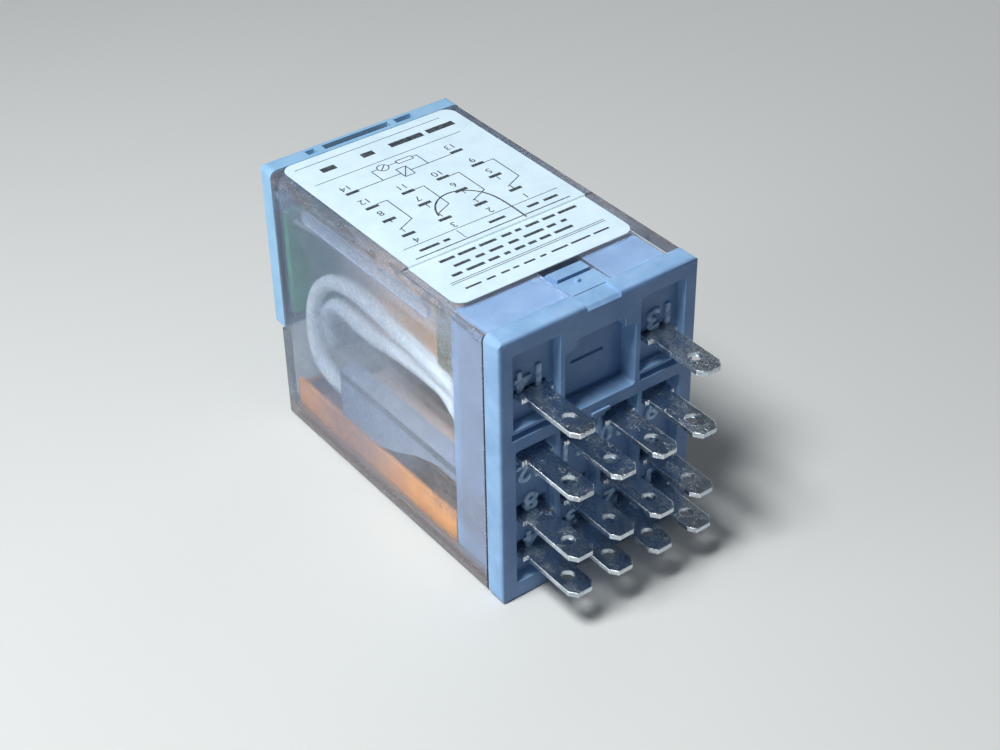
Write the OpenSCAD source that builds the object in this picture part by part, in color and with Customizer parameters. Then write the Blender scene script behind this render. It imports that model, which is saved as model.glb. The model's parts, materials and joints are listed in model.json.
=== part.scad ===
/* [Body] */
// Overall width across the relay
body_w = 20.8; // [20.6:0.1:21.4]
// Height from the resting face to the label
body_h = 27.4; // [27.2:0.1:28.4]
// Length from the rim's front face to the far end
body_l = 35.6; // [35.4:0.1:37]
// Wall thickness of the clear cover
cover_wall = 0.9; // [0.7:0.05:0.95]
// Thickness of the base's rim
rim_t = 2.0; // [1.8:0.05:2.2]
// Rounding of the rim's outer edges
rim_round = 0.7; // [0.4:0.05:0.9]
// Rounding of the edges round its front face
rim_edge = 0.4; // [0.3:0.05:0.7]
// Seam between the rim and the cover
seam_gap = 0.2; // [0.05:0.01:0.3]
// How far the base's skirt reaches into the cover
skirt_l = 7.2; // [6.9:0.05:7.3]

/* [Socket face] */
// Depth of the pockets in the socket face
pocket_d = 1.0; // [0.6:0.05:1.2]
// Depth of the middle recess
recess_d = 1.9; // [1.2:0.05:2.2]
// Thickness of the ribs between the lower blades
rib_t = 0.4; // [0.3:0.05:0.7]
// Depth of the small recess round each blade
root_d = 0.7; // [0.4:0.05:0.9]

/* [Blades] */
// Width of a blade
blade_w = 2.5; // [2.2:0.05:2.8]
// Thickness of a blade
blade_t = 0.5; // [0.4:0.05:0.6]
// How far the blades stand out of the rim
blade_out = 6.4; // [5.5:0.1:7.5]
// Diameter of the eyelet in a blade
eyelet_d = 1.2; // [0.8:0.05:1.5]
// Distance from the eyelet to the blade's tip
eyelet_in = 2.3; // [1.8:0.05:2.8]
// Width of a blade's shoulder
shoulder_w = 3.2; // [3:0.05:3.4]
// Distance from the middle of the outer blade columns to the body's sides
column_side = 3.8; // [3.6:0.05:4]
// Height of the row of contacts that are closed at rest
row_rest = 4.2; // [4.1:0.05:4.3]
// Height of the row of contacts that close when the coil is on
row_on = 8.15; // [8.1:0.05:8.2]
// Distance from the label down to the two coil blades
coil_row_down = 6.4; // [6.2:0.05:6.8]

/* [Label] */
// Thickness of the label
label_t = 0.08; // [0.05:0.01:0.15]
// Corner radius of the label
label_r = 1.2; // [0.5:0.1:2]
// Distance from the rim's front face to the step in the cover's top
step_in = 13.6; // [12:0.1:16]
// Height of that step
step_h = 0.22; // [0.1:0.02:0.3]

/* [Magnet] */
// Diameter of the iron core as a share of the winding's
core_share = 0.4; // [0.3:0.01:0.45]
// How far the bobbin flanges stand out beyond the winding
flange_lip = 0.5; // [0.3:0.05:1]
// Angle that the armature turns through
armature_angle = 2.6; // [2.2:0.1:2.8]
// Thickness of the armature
armature_t = 1.2; // [1:0.05:1.25]

/* [Contacts] */
// Thickness of a moving spring
leaf_t = 0.2; // [0.15:0.01:0.25]
// Width of a moving spring
leaf_w = 2.2; // [1.8:0.1:2.4]
// Diameter of the contact faces on the moving springs
contact_d = 1.0; // [0.8:0.05:1.2]
// Diameter of the sleeved leads
lead_d = 1.5; // [1.2:0.05:1.5]

/* [Far end] */
// Thickness of the end frame
frame_t = 1.08; // [1:0.02:1.1]
// How far the end frame's flange reaches over the cover
flange_l = 0.75; // [0.5:0.05:0.8]
// Thickness of that flange
flange_t = 0.35; // [0.25:0.05:0.45]
// Height of the end frame's lower edge
frame_z = 10.2; // [9.8:0.1:10.3]
// Width of the test lever
lever_w = 6.9; // [5:0.1:7.2]
// Thickness of the green board
board_t = 0.7; // [0.5:0.05:0.8]

/* [Hidden] */

$fn = 48;
// Facets of small circles
small = 24;
// Shift that puts the origin at the middle of the whole part
origin_x = (body_l - blade_out) / 2;

// Half of the body's width
half_w = body_w / 2;
// Clear half width inside the cover
side_y = half_w - cover_wall;
// Clearance between the base's skirt and the cover
skirt_gap = 0.1;
// Half width of the part of the base that is inside the cover
plug_y = side_y - skirt_gap;
// Height of the cover's top surface under the label
cover_top = body_h - label_t;
// Height of the cavity's ceiling
ceiling_z = cover_top - cover_wall;
// Near end of what lies along the cavity beyond the skirt
inside_x = -(skirt_l + 0.2);
// Back of the web that closes the base
web_x = -(rim_t + 1.0);
// Outer face of the cover's far end
cover_end = -(body_l - frame_t - 0.02);
// Inner face of the cover's far end
cavity_end = cover_end + cover_wall;

// Height over which the coil and what stands beside it share the room that is left
low_z = 10.0;
// Share of that room against a body of the usual height
high_share = (ceiling_z - low_z) / 16.42;
// Share of the length between the base and the far end against a body of the usual length
deep_share = (cavity_end + 6.6) / -27;
// Distance between neighbouring blade columns, of which there are four
column_pitch = (half_w - column_side) / 1.5;
function high(z) = z < low_z ? z : low_z + (z - low_z) * high_share;
function deep(x) = x > -6.6 ? x : -6.6 + (x + 6.6) * deep_share;
function wide(y) = y < 6.6 ? y * column_pitch / 4.4 : y - 6.6 + 1.5 * column_pitch;
function fitted(line) = [for (p = line) [deep(p[0]), wide(p[1]), high(p[2])]];

// Height of the row of coil blades
row_coil = body_h - coil_row_down;
// Height of the row of common blades
row_common = high(14.6);
// Heights of the four blade rows
row_z = [row_rest, row_on, row_common, row_coil];
// Sideways places of the four columns, in the order of their numbers
column_y = [1.5 * column_pitch, 0.5 * column_pitch, -0.5 * column_pitch, -1.5 * column_pitch];
// Width of a blade's part inside the relay
neck_w = 2.2;
// Clearance round metal in the base
slot_gap = 0.05;
// Back of a blade's shoulder
shoulder_x = -(pocket_d + root_d - 0.02);
// Place of the eyelet
eyelet_x = blade_out - eyelet_in;

// Hinge line of the armature, which is its upper edge under the yoke
hinge_x = cavity_end + 5.3;
hinge_z = row_on + 2.35;
// Place of the contacts along the relay
contact_x = -10.6;
// Gap left between contact faces that touch in use
contact_gap = 0.03;
// Height of the middle of the moving springs
leaf_z = row_rest + 1.57;
// Height of the moving contacts over their spring
contact_h = 0.45;
// Rise of the moving contacts when the coil is on
contact_rise = (contact_x - hinge_x + contact_d / 2) * sin(armature_angle)
    + (hinge_z - leaf_z - leaf_t / 2 - contact_h) * (1 - cos(armature_angle));
// Sideways shift of the moving contacts on the way
contact_shift = (hinge_z - leaf_z) * sin(armature_angle);
// Height of the contacts on the lower fixed strips
low_contact_h = leaf_z - leaf_t / 2 - contact_h - contact_gap - row_rest - blade_t / 2;
// Height of the contacts under the upper fixed strips
high_contact_h = row_on - blade_t / 2 - leaf_z - leaf_t / 2 - contact_h - contact_rise - contact_gap;

// Far edge of the tray under the contacts
tray_x = cavity_end + 0.4;
// Free end of the armature
armature_x = -8.0;
// Tail end of the armature
tail_x = hinge_x - 3.3;
// Far face and near face of the yoke
yoke_x = [hinge_x - 0.6, hinge_x + 0.6];
// Lower edge of the yoke over the armature
yoke_z = hinge_z + 0.05;
// Far face and near face of the pole piece
pole_x = [-8.9, -7.7];
// Lower edge of the pole piece
pole_z = hinge_z + (armature_x - hinge_x) * sin(armature_angle) + 0.03;
// Radius of the riveted ends of the core
rivet_r = 1.5;
// Half width and upper edge of the bobbin flanges
flange_y = side_y - 2.8;
flange_top = ceiling_z - 1.12;
// Lower edge of the bobbin flanges, clear of the armature
flange_low = pole_z + 0.44;
// Height of the coil's axis
coil_z = (flange_top + flange_low) / 2;
// Width and height of the winding, which has rounded corners
winding_d = min(2 * flange_y, flange_top - flange_low) - 2 * flange_lip;
// Diameter of the iron core
core_d = core_share * winding_d;
// Half width of the yoke
yoke_y = winding_d / 2 - 0.2;
// Half width of the armature
armature_y = yoke_y - 0.5;
// Half width of the armature between the yoke's feet
waist_y = armature_y - 1.35;
// Far face and near face of the contact carrier
carrier_x = [hinge_x - 1.1, hinge_x + 3.1];
// Place of the ear on the springs of the outer columns
ear_x = carrier_x[1] + 0.25;
// Far edge, underside and top of the barrier over the contacts
barrier_x = ear_x + 0.55;
barrier_z = [row_on + blade_t / 2 + 0.15, hinge_z - armature_t - 0.3];
// Far edge of the barrier's sides and height of their top
barrier_side_x = carrier_x[0] + 3.9;
barrier_side_z = barrier_z[1] + 1.2;
// Half width of the contact carrier
carrier_y = side_y - 2.25;
// Underside and top of the contact carrier
carrier_z = [5.0, hinge_z - armature_t - 0.05];
// Places of the pegs that hold the carrier to the armature
peg_y = waist_y - 1.15;
peg_x = hinge_x + 2.1;
// Radius of those pegs
peg_r = 0.6;

// Sides of the test lever, which is a little off the middle
lever_y = [-lever_w / 2 - 0.6, lever_w / 2 - 0.6];
// Sides of the opening round it
opening_y = [lever_y[0] - 0.15, lever_y[1] + 0.15];
// Pivot of the test lever
pivot_x = -(body_l - frame_t / 2);
pivot_z = hinge_z + 2.4;
// Radius of the lever's pivot pins
pivot_r = 0.33;
// Nose of the lever, over the armature's tail
nose_x = hinge_x - 2.9;
nose_r = 0.4;
// Places of the pegs that hold the end frame to the cover
peg_place = [half_w - 1.8, body_h - 3.0];
// Outer face and inner face of the green board
board_x = [cavity_end + 0.3, cavity_end + 0.3 + board_t];
// Lower edge and upper edge of the green board
board_z = [pivot_z - 0.3, ceiling_z - 3.02];
// Places where the wires from the coil tabs go through it
wire_hole = [wide(8.4), high(22.3)];

// Place of the return spring
spring_x = hinge_x - 2.1;
spring_y = 0.05 - waist_y;
// Its lower and upper end
spring_z = [hinge_z + 0.12, high(15.6)];
// Its middle diameter and its wire's radius
spring_d = 1.25;
spring_wire = 0.125;

// Middle line of the loops that the leads of the outer columns make
outer_loop = [[-6.55, 6.6, 14.6], [-7.4, 6.9, 15.2], [-8.3, 7.6, 16.4], [-9.4, 8, 17.3], [-11.5, 8.1, 17.75],
    [-14.4, 8.1, 18.3], [-17.4, 8.1, 18.45], [-20.5, 8.1, 18.95], [-23.7, 8.1, 19.1], [-27, 8.1, 18.4],
    [-29.4, 8.1, 16.8], [-30.9, 8.1, 14.4], [-31.4, 8.1, 11.7], [-31.2, 8.1, 9.3], [-30.1, 8.1, 7.7],
    [-28.2, 8.1, 6.95], [-25, 8.1, 6.85]];
// Middle line of the loops that the leads of the inner columns make
inner_loop = [[-4.65, 2.2, 14.6], [-5.5, 2.5, 14.3], [-6.2, 3.8, 13.5], [-6.7, 5.4, 12.9], [-7.6, 6.9, 13.2],
    [-8.5, 7.6, 14.1], [-9.4, 7.7, 15], [-10.8, 7.65, 15.7], [-12.8, 7.65, 15.9], [-15, 7.8, 16.1],
    [-17.6, 8, 16.15], [-20.6, 8.1, 15.85], [-23.2, 8.1, 15.9], [-25.4, 8.1, 16.15], [-27.3, 8, 15.7],
    [-28.9, 7.8, 14.3], [-29.8, 7.4, 12.5], [-30.2, 6.9, 10.7], [-30.5, 6.4, 9.3],
    [-31.2, 5.6, 8.1], [-31.3, 4.4, 7.2], [-31.2, 3.3, 6.85], [-31.1, 2.2, 6.8]];
// Bent tabs of the coil blades
tab_y = [side_y - 1.65, side_y - 1.25];
// Middle line of the wires from the coil tabs to the green board
board_run = [[-10.4, 8.05, 24.66], [-10.4, 8.05, 24.95], [-10.9, 8.15, 25.2], [-11.9, 8.4, 24.85],
    [-13.2, 8.6, 24.2], [-15, 8.7, 23.6], [-18, 8.7, 23.2],
    [-23, 8.7, 23.3], [-28, 8.7, 23.2], [-31, 8.6, 22.6], [-32.1, 8.4, 22.3], [-32.7, 8.4, 22.3]];
// Middle line of the fine wires from the winding to the coil tabs
coil_run = [[-7.5, 7.7, 20.2], [-8.3, 7.4, 20.1], [-9.3, 7.15, 20.3], [-10.1, 6.9, 20.7],
    [-10.5, 6.7, 21.2], [-10.9, 6.55, 21.8], [-11.3, 6.45, 22.4]];

module place() {
    translate([origin_x, 0, 0]) children();
}

module block(x, y, z) {
    translate([x[0], y[0], z[0]]) cube([x[1] - x[0], y[1] - y[0], z[1] - z[0]]);
}

module both_sides() {
    children();
    mirror([0, 1, 0]) children();
}

// A flat shape in Y and Z that is given a thickness along X
module along_x(x) {
    translate([x[0], 0, 0]) rotate([90, 0, 90]) linear_extrude(x[1] - x[0]) children();
}

// A flat shape in X and Z that is given a thickness along Y
module along_y(y) {
    translate([0, y[1], 0]) rotate([90, 0, 0]) linear_extrude(y[1] - y[0]) children();
}

// A flat shape in X and Y that is given a thickness along Z
module along_z(z) {
    translate([0, 0, z[0]]) linear_extrude(z[1] - z[0]) children();
}

module rect(a, b) {
    translate([a[0], b[0]]) square([a[1] - a[0], b[1] - b[0]]);
}

module soft_rect(a, b, r) {
    rect([a[0] + r, a[1] - r], b);
    rect(a, [b[0] + r, b[1] - r]);
    for (u = [a[0] + r, a[1] - r], v = [b[0] + r, b[1] - r])
        translate([u, v]) circle(r);
}

// A box whose edges along X have one radius and all the others another
module soft_box(x, y, z, r_long, r_end) {
    intersection() {
        along_x(x) soft_rect(y, z, r_long);
        along_z(z) soft_rect(x, y, r_end);
        along_y(y) soft_rect(x, z, r_end);
    }
}

function unit(v) = v / norm(v);
function at(p, i) = p[max(0, min(len(p) - 1, i))];
function curve_point(p, i, t) = 0.5 * (2 * at(p, i) + (at(p, i + 1) - at(p, i - 1)) * t
    + (2 * at(p, i - 1) - 5 * at(p, i) + 4 * at(p, i + 1) - at(p, i + 2)) * t * t
    + (3 * at(p, i) - at(p, i - 1) - 3 * at(p, i + 1) + at(p, i + 2)) * t * t * t);
function smooth(p, steps) = concat([for (i = [0 : len(p) - 2], k = [0 : steps - 1])
    curve_point(p, i, k / steps)], [p[len(p) - 1]]);
function heading(p, i) = unit(at(p, i + 1) - at(p, i - 1));
function side_dirs(p, last, i = 0) = i == len(p) ? [] :
    let (t = heading(p, i), n = unit(last - (last * t) * t)) concat([n], side_dirs(p, n, i + 1));

// A round tube along a line of points
module tube(p, r, sides, first) {
    n = side_dirs(p, first);
    points = [for (i = [0 : len(p) - 1], k = [0 : sides - 1])
        let (b = cross(heading(p, i), n[i]), a = 360 * k / sides) p[i] + r * (cos(a) * n[i] + sin(a) * b)];
    walls = [for (i = [0 : len(p) - 2], k = [0 : sides - 1])
        let (a = i * sides + k, b = i * sides + (k + 1) % sides) [a, a + sides, b + sides, b]];
    near_cap = [for (k = [0 : sides - 1]) k];
    far_cap = [for (k = [sides - 1 : -1 : 0]) (len(p) - 1) * sides + k];
    polyhedron(points, concat(walls, [near_cap, far_cap]), convexity = 8);
}

// Flat shape of the pockets round the lower twelve blades, with the ribs left standing
module lower_pocket() {
    difference() {
        soft_rect([-half_w + 1.55, half_w - 1.55], [1.8, row_coil - 4.9], 0.3);
        for (i = [-1 : 1])
            rect([i * column_pitch - rib_t / 2, i * column_pitch + rib_t / 2], [0, row_coil]);
        rect([-0.95, 0.95], [row_coil - 5.4, row_coil]);
    }
}

// Flat shape of one coil blade's pocket and of the slit under it
module coil_pocket() {
    soft_rect([column_pitch - 0.2, half_w - 1.35], [row_coil - 2.7, body_h - 1.6], 0.3);
    rect([column_pitch - 0.1, half_w - 1.2], [row_coil - 3.7, row_coil - 3.0]);
}

// Flat shape of the middle recess
module middle_recess() {
    soft_rect([0.65 - column_pitch, column_pitch - 0.65], [row_coil - 3.7, row_coil + 2.7], 0.3);
    soft_rect([-2.55, 2.55], [row_coil + 1, row_coil + 3.65], 0.3);
}

// Flat shape of the raised panel in the middle recess
module middle_panel() {
    difference() {
        rect([0.64 - column_pitch, 2.5], [row_coil - 3, row_coil + 2.72]);
        translate([2.5 - 1.2, row_coil - 3 + 1.2]) difference() {
            rect([0, 2], [-2, 0]);
            circle(1.2);
        }
        rect([-1.9, 1.6], [row_coil - 0.1, row_coil + 0.25]);
    }
}

module blade_place(n) {
    row = n > 12 ? 3 : floor((n - 1) / 4);
    y = n == 13 ? column_y[0] : n == 14 ? column_y[3] : column_y[(n - 1) % 4];
    translate([0, y, row_z[row]]) children();
}

module base() color("slategray") place() {
    difference() {
        union() {
            intersection() {
                soft_box([-rim_t - 3, 0], [-half_w, half_w], [0, body_h], rim_round, rim_edge);
                block([-rim_t, 1], [-half_w, half_w], [0, body_h]);
            }
            along_x([web_x, -rim_t]) soft_rect([-plug_y, plug_y], [cover_wall + skirt_gap, ceiling_z - skirt_gap], 0.4);
            along_x([-skirt_l, web_x + 0.1]) difference() {
                soft_rect([-plug_y, plug_y], [cover_wall + skirt_gap, ceiling_z - skirt_gap], 0.4);
                rect([-plug_y + 1, plug_y - 1], [cover_wall + 1.1, ceiling_z - 1.1]);
            }
            along_y([-1, 2.4]) polygon([[-6.3, ceiling_z - 0.5], [-6, cover_top - 0.3],
                [-5.75, cover_top - 0.12], [-4.5, cover_top - 0.03], [-4.5, ceiling_z - 0.5]]);
            along_y([-1.3, 2.7]) polygon([[-4.6, ceiling_z - 0.5], [-4.4, cover_top - 0.3],
                [-2.1, cover_top - 0.15], [-1.9, ceiling_z - 0.5]]);
            translate([-3.7, 0.45, ceiling_z]) cylinder(cover_wall + 0.03, d1 = 1.1, d2 = 0.4, $fn = small);
            block([-rim_t, 0.2], [-0.95, 1.0], [row_coil - 4.86, row_coil - 4.6]);
        }
        along_x([-pocket_d, 1]) {
            lower_pocket();
            coil_pocket();
            mirror([1, 0]) coil_pocket();
        }
        along_x([-recess_d, 1]) middle_recess();
        for (n = [1 : 14]) blade_place(n) {
            block([-(pocket_d + root_d), 1], [-shoulder_w / 2 - slot_gap, shoulder_w / 2 + slot_gap],
                [-0.35, n > 12 ? 0.45 : 1.25]);
            block([-skirt_l - 1, 1], [-neck_w / 2 - slot_gap, neck_w / 2 + slot_gap],
                [-blade_t / 2 - slot_gap, blade_t / 2 + slot_gap]);
        }
        along_y([-1.55, 2.0]) polygon([[-rim_t - 0.1, body_h - 0.22], [-rim_t - 0.1, body_h + 0.1],
            [0.1, body_h + 0.1], [0.1, body_h - 0.62], [-0.35, body_h - 0.27]]);
    }
    along_x([-recess_d - 0.1, -recess_d + 0.25]) middle_panel();
    both_sides() translate([-pocket_d - 0.1, column_pitch + 0.1, row_coil - 0.7]) rotate([0, 90, 0]) cylinder(0.5, d = 0.5, $fn = small);
}

module cover() color([0.8, 0.9, 1, 0.3]) place() difference() {
    union() {
        difference() {
            soft_box([cover_end, 3], [-half_w, half_w], [0, cover_top], rim_round, 0.35);
            soft_box([cavity_end, 6], [-side_y, side_y], [cover_wall, ceiling_z], 0.4, 0.3);
            block([-rim_t - seam_gap, 9], [-half_w - 1, half_w + 1], [-1, body_h + 1]);
        }
        both_sides() {
            along_y([side_y - 0.4, side_y + 0.2]) {
                soft_rect([deep(-30), -10.4], [ceiling_z - 2.5, ceiling_z - 1.2], 0.6);
            }
            block([deep(-30), inside_x - 1], [side_y - 3, side_y - 2.2], [cover_wall - 0.2, 1.25]);
            block([cavity_end - 0.2, cavity_end + 0.25], [side_y - 3.5, side_y - 2.5], board_z);
            block([cavity_end - 0.2, board_x[1]], [side_y - 0.4, side_y + 0.2], [board_z[0] - 0.6, board_z[0] - 0.05]);
        }
    }
    block([-step_in, 0], [-half_w - 1, half_w + 1], [cover_top - step_h, body_h + 1]);
    block([-6.6, -1], [-1.45, 2.85], [ceiling_z - 1, body_h + 1]);
    block([cover_end - 1, cover_end + 0.2], opening_y, [frame_z + 0.8, body_h + 1]);
    block([cover_end - 1, cavity_end + 1], [-1.6, 1.6], [pivot_z - 2.3, pivot_z + 0.7]);
    difference() {
        block([cover_end - 1, cover_end + flange_l + 0.02], [-half_w - 1, half_w + 1], [frame_z - 0.02, body_h + 1]);
        along_x([cover_end - 2, cover_end + 2])
            rect([flange_t + 0.02 - half_w, half_w - flange_t - 0.02], [frame_z - 1, cover_top - flange_t - 0.02]);
    }
    both_sides() translate([cover_end - 1, peg_place[0], peg_place[1]]) rotate([0, 90, 0]) cylinder(cover_wall + 2, r = 0.5, $fn = small);
}

module label() color("aliceblue") place() intersection() {
    along_z([body_h - 1, body_h + 1]) soft_rect([cover_end + flange_l + 0.03, -6.7], [-half_w + 1, half_w - 1.2], label_r);
    along_y([-half_w, half_w]) {
        rect([cover_end + 0.1, -step_in - 0.001], [cover_top + 0.005, body_h]);
        rect([-step_in - 0.001, -step_in + label_t], [cover_top - step_h + 0.005, body_h]);
        rect([-step_in, -rim_t], [cover_top - step_h + 0.005, body_h - step_h]);
    }
}

module end_frame() color("skyblue") place() {
    difference() {
        intersection() {
            soft_box([-body_l, cover_end + 3], [-half_w, half_w], [frame_z, body_h], rim_round, 0.4);
            block([-body_l - 1, cover_end + flange_l], [-half_w, half_w], [frame_z, body_h + 1]);
        }
        along_x([cover_end - 0.02, cover_end + 2])
            rect([flange_t - half_w, half_w - flange_t], [frame_z - 1, cover_top - flange_t]);
        block([-body_l - 1, cover_end + 0.3], opening_y, [frame_z + 1.1, body_h - 0.45]);
        for (y = [opening_y, [-6, -5], [3.65, 5.65]])
            block([cover_end - 0.45, cover_end + 0.3], y, [body_h - 1.2, body_h + 1]);
        translate([pivot_x, -0.6, pivot_z]) rotate([90, 0, 0])
            cylinder(lever_w + 1.9, r = pivot_r + 0.05, center = true, $fn = small);
    }
    both_sides() translate([cover_end - 0.1, peg_place[0], peg_place[1]]) rotate([0, 90, 0]) cylinder(cover_wall, r = 0.46, $fn = small);
}

module test_lever() color("navy") place() {
    along_y(lever_y) soft_rect([pivot_x - 0.44, pivot_x + 0.21], [pivot_z - 1.4, body_h - 0.65], 0.2);
    translate([pivot_x, -0.6, pivot_z]) rotate([90, 0, 0])
        cylinder(lever_w + 1.7, r = pivot_r, center = true, $fn = small);
    along_y([-1.2, 1.2]) {
        rect([pivot_x, nose_x + nose_r], [pivot_z - 1.3, pivot_z - 0.5]);
        rect([nose_x - nose_r, nose_x + nose_r], [hinge_z + 0.03 + nose_r, pivot_z - 0.5]);
        translate([nose_x, hinge_z + 0.03 + nose_r]) circle(nose_r, $fn = small);
    }
    for (z = [body_h - 7.4 : 1.2 : body_h - 2.6])
        block([pivot_x - 0.52, pivot_x - 0.3], [-3, 1.8], [z, z + 0.5]);
}

module led_board() color("green") place() {
    difference() {
        block(board_x, [-side_y + 0.15, side_y - 0.15], board_z);
        both_sides() translate([board_x[0] - 1, wire_hole[0], wire_hole[1]]) rotate([0, 90, 0]) cylinder(3, r = 0.3, $fn = small);
    }
}

module led() color("limegreen") place() {
    block([board_x[0] - 0.25, board_x[0] - 0.01], [side_y - 5.9, side_y - 4.3], [board_z[1] - 2.8, board_z[1] - 1.9]);
}

// A small round body along Y with a bent leg at each end
module axial_part(y, z, r, length) {
    translate([board_x[1] + 0.03 + r, y, z]) rotate([90, 0, 0]) cylinder(length, r = r, center = true, $fn = small);
    for (s = [-1, 1]) {
        translate([board_x[1] + 0.03 + r, y + s * (length / 2 + 0.4), z]) rotate([90, 0, 0])
            cylinder(0.9, r = 0.18, center = true, $fn = small);
        translate([board_x[1] + 0.01, y + s * (length / 2 + 0.67), z]) rotate([0, 90, 0])
            cylinder(r + 0.2, r = 0.18, $fn = small);
    }
}

module resistor() color("tan") place() axial_part(0.6, board_z[1] - 2, 0.85, 5.4);

module diode() color("orangered") place() axial_part(2.6, board_z[1] - 5.2, 0.7, 3.4);

module bobbin() color("ivory") place() {
    for (x = [[yoke_x[1] + 0.05, yoke_x[1] + 0.8], [pole_x[0] - 0.8, pole_x[0] - 0.05]])
        along_x(x) difference() {
            soft_rect([-flange_y, flange_y], [flange_low, flange_top], 0.8);
            translate([0, coil_z]) circle(core_d / 2 + 0.05);
        }
    along_x([yoke_x[1] + 0.7, pole_x[0] - 0.7]) translate([0, coil_z]) difference() {
        circle(core_d / 2 + 0.75);
        circle(core_d / 2 + 0.05);
    }
}

module winding() color("wheat") place() {
    along_x([yoke_x[1] + 0.83, pole_x[0] - 0.83]) translate([0, coil_z]) difference() {
        soft_rect([-winding_d / 2, winding_d / 2], [-winding_d / 2, winding_d / 2], winding_d / 5);
        circle(core_d / 2 + 0.78);
    }
}

module core() color("silver") place() {
    translate([yoke_x[1] + 0.02, 0, coil_z]) rotate([0, 90, 0]) cylinder(pole_x[0] - yoke_x[1] - 0.04, d = core_d);
    translate([yoke_x[0] - 0.25, 0, coil_z]) rotate([0, 90, 0])
        cylinder(pole_x[1] - yoke_x[0] + 0.5, r = rivet_r - 0.03);
}

module yoke() color("lightgray") place() {
    difference() {
        union() {
            along_x(yoke_x) {
                soft_rect([-yoke_y, yoke_y], [yoke_z, flange_top - 0.5], 0.5);
                rect([-yoke_y, yoke_y], [yoke_z, yoke_z + 2]);
                both_feet();
            }
            block([spring_x - 0.8, yoke_x[0] + 0.1], [spring_y - 0.9, spring_y + 0.9], [spring_z[1] + 0.03, spring_z[1] + 0.9]);
        }
        translate([yoke_x[0] - 1, 0, coil_z]) rotate([0, 90, 0]) cylinder(4, r = rivet_r);
    }
}

// Flat shape of the yoke's feet, which stand beside the armature's waist
module both_feet() {
    for (s = [-1, 1])
        rect([min(s * (waist_y + 0.1), s * armature_y), max(s * (waist_y + 0.1), s * armature_y)], [carrier_z[1] - 0.85, yoke_z + 1]);
}

module pole_piece() color("lightgray") place() {
    difference() {
        union() {
            along_x(pole_x) rect([0.5 - armature_y, armature_y - 0.5], [pole_z, flange_top - 1]);
            both_sides() block([pole_x[1] - 0.1, web_x - 0.05], [armature_y - 1.5, armature_y - 0.5],
                [row_coil + 0.5, row_coil + 1.5]);
        }
        translate([pole_x[0] - 1, 0, coil_z]) rotate([0, 90, 0]) cylinder(4, r = rivet_r);
    }
}

module armature() color("silver") place() {
    difference() {
        along_z([hinge_z - armature_t, hinge_z]) {
            soft_rect([tail_x, armature_x], [-waist_y, waist_y], 0.3);
            rect([tail_x, yoke_x[0] - 0.1], [-armature_y, armature_y]);
            rect([yoke_x[1] + 0.1, armature_x], [-armature_y, armature_y]);
        }
        both_sides() translate([peg_x, peg_y, hinge_z - 2]) cylinder(4, r = peg_r + 0.03, $fn = small);
        along_y([-7, 7]) polygon([[armature_x - 0.6, hinge_z - armature_t - 0.1], [armature_x + 0.1, hinge_z - armature_t - 0.1],
            [armature_x + 0.1, hinge_z - armature_t + 0.4]]);
    }
}

module return_spring() color("gray") place() {
    turns = 6;
    rings = 72;
    low = spring_z[0] + spring_wire;
    high = spring_z[1] - spring_wire;
    helix = [for (i = [0 : rings - 1]) let (t = i / (rings - 1), a = 360 * turns * t)
        [spring_x + spring_d / 2 * cos(a), spring_y + spring_d / 2 * sin(a), low + (high - low) * t]];
    tube(helix, spring_wire, 8, [1, 0, 0]);
}

module contact_carrier() color("ivory") place() {
    difference() {
        block(carrier_x, [-carrier_y, carrier_y], carrier_z);
        for (y = column_y)
            block([carrier_x[0] - 1, carrier_x[1] + 1], [y - leaf_w / 2 - 0.03, y + leaf_w / 2 + 0.03],
                [leaf_z - leaf_t / 2 - 0.02, leaf_z + leaf_t / 2 + 0.02]);
        both_sides() block([yoke_x[0] - 0.35, yoke_x[1] + 0.35], [waist_y - 0.1, armature_y + 0.2],
            [carrier_z[1] - 1.25, carrier_z[1] + 1]);
        for (i = [-1 : 1])
            block([carrier_x[1] - 1.2, carrier_x[1] + 1], [i * column_pitch - 0.5, i * column_pitch + 0.5], [4, carrier_z[1] - 1]);
    }
    both_sides() translate([peg_x, peg_y, carrier_z[1] - 0.2]) {
        cylinder(hinge_z - carrier_z[1] + 0.25, r = peg_r, $fn = small);
        translate([0, 0, hinge_z - carrier_z[1] + 0.23]) cylinder(0.3, r = peg_r + 0.3, $fn = small);
    }
}

module moving_spring(k) color("goldenrod") place() {
    y = column_y[k - 1];
    side = y > 0 ? 1 : -1;
    outer = abs(y) > column_pitch;
    along_z([leaf_z - leaf_t / 2, leaf_z + leaf_t / 2]) {
        rect([carrier_x[0] + 0.2, contact_x], [y - leaf_w / 2, y + leaf_w / 2]);
        translate([contact_x, y]) circle(leaf_w / 2, $fn = small);
        if (outer)
            rect([ear_x, ear_x + 1.2], side > 0 ? [y, side_y - 0.75] : [0.75 - side_y, y]);
        else
            rect([nose_x, carrier_x[0] + 0.3], [y - 0.6, y + 0.6]);
    }
    translate([contact_x, y, leaf_z]) cylinder(leaf_t + 2 * contact_h, d = contact_d, center = true, $fn = small);
}

module terminal_outline(back) {
    difference() {
        polygon([[back, -neck_w / 2], [shoulder_x, -neck_w / 2], [shoulder_x, -shoulder_w / 2], [0.1, -shoulder_w / 2],
            [0.1, -blade_w / 2], [blade_out - 0.7, -blade_w / 2], [blade_out, -blade_w / 2 + 0.5],
            [blade_out, blade_w / 2 - 0.5], [blade_out - 0.7, blade_w / 2], [0.1, blade_w / 2],
            [0.1, shoulder_w / 2], [shoulder_x, shoulder_w / 2], [shoulder_x, neck_w / 2], [back, neck_w / 2]]);
        translate([eyelet_x, 0]) circle(d = eyelet_d, $fn = small);
    }
}

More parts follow.
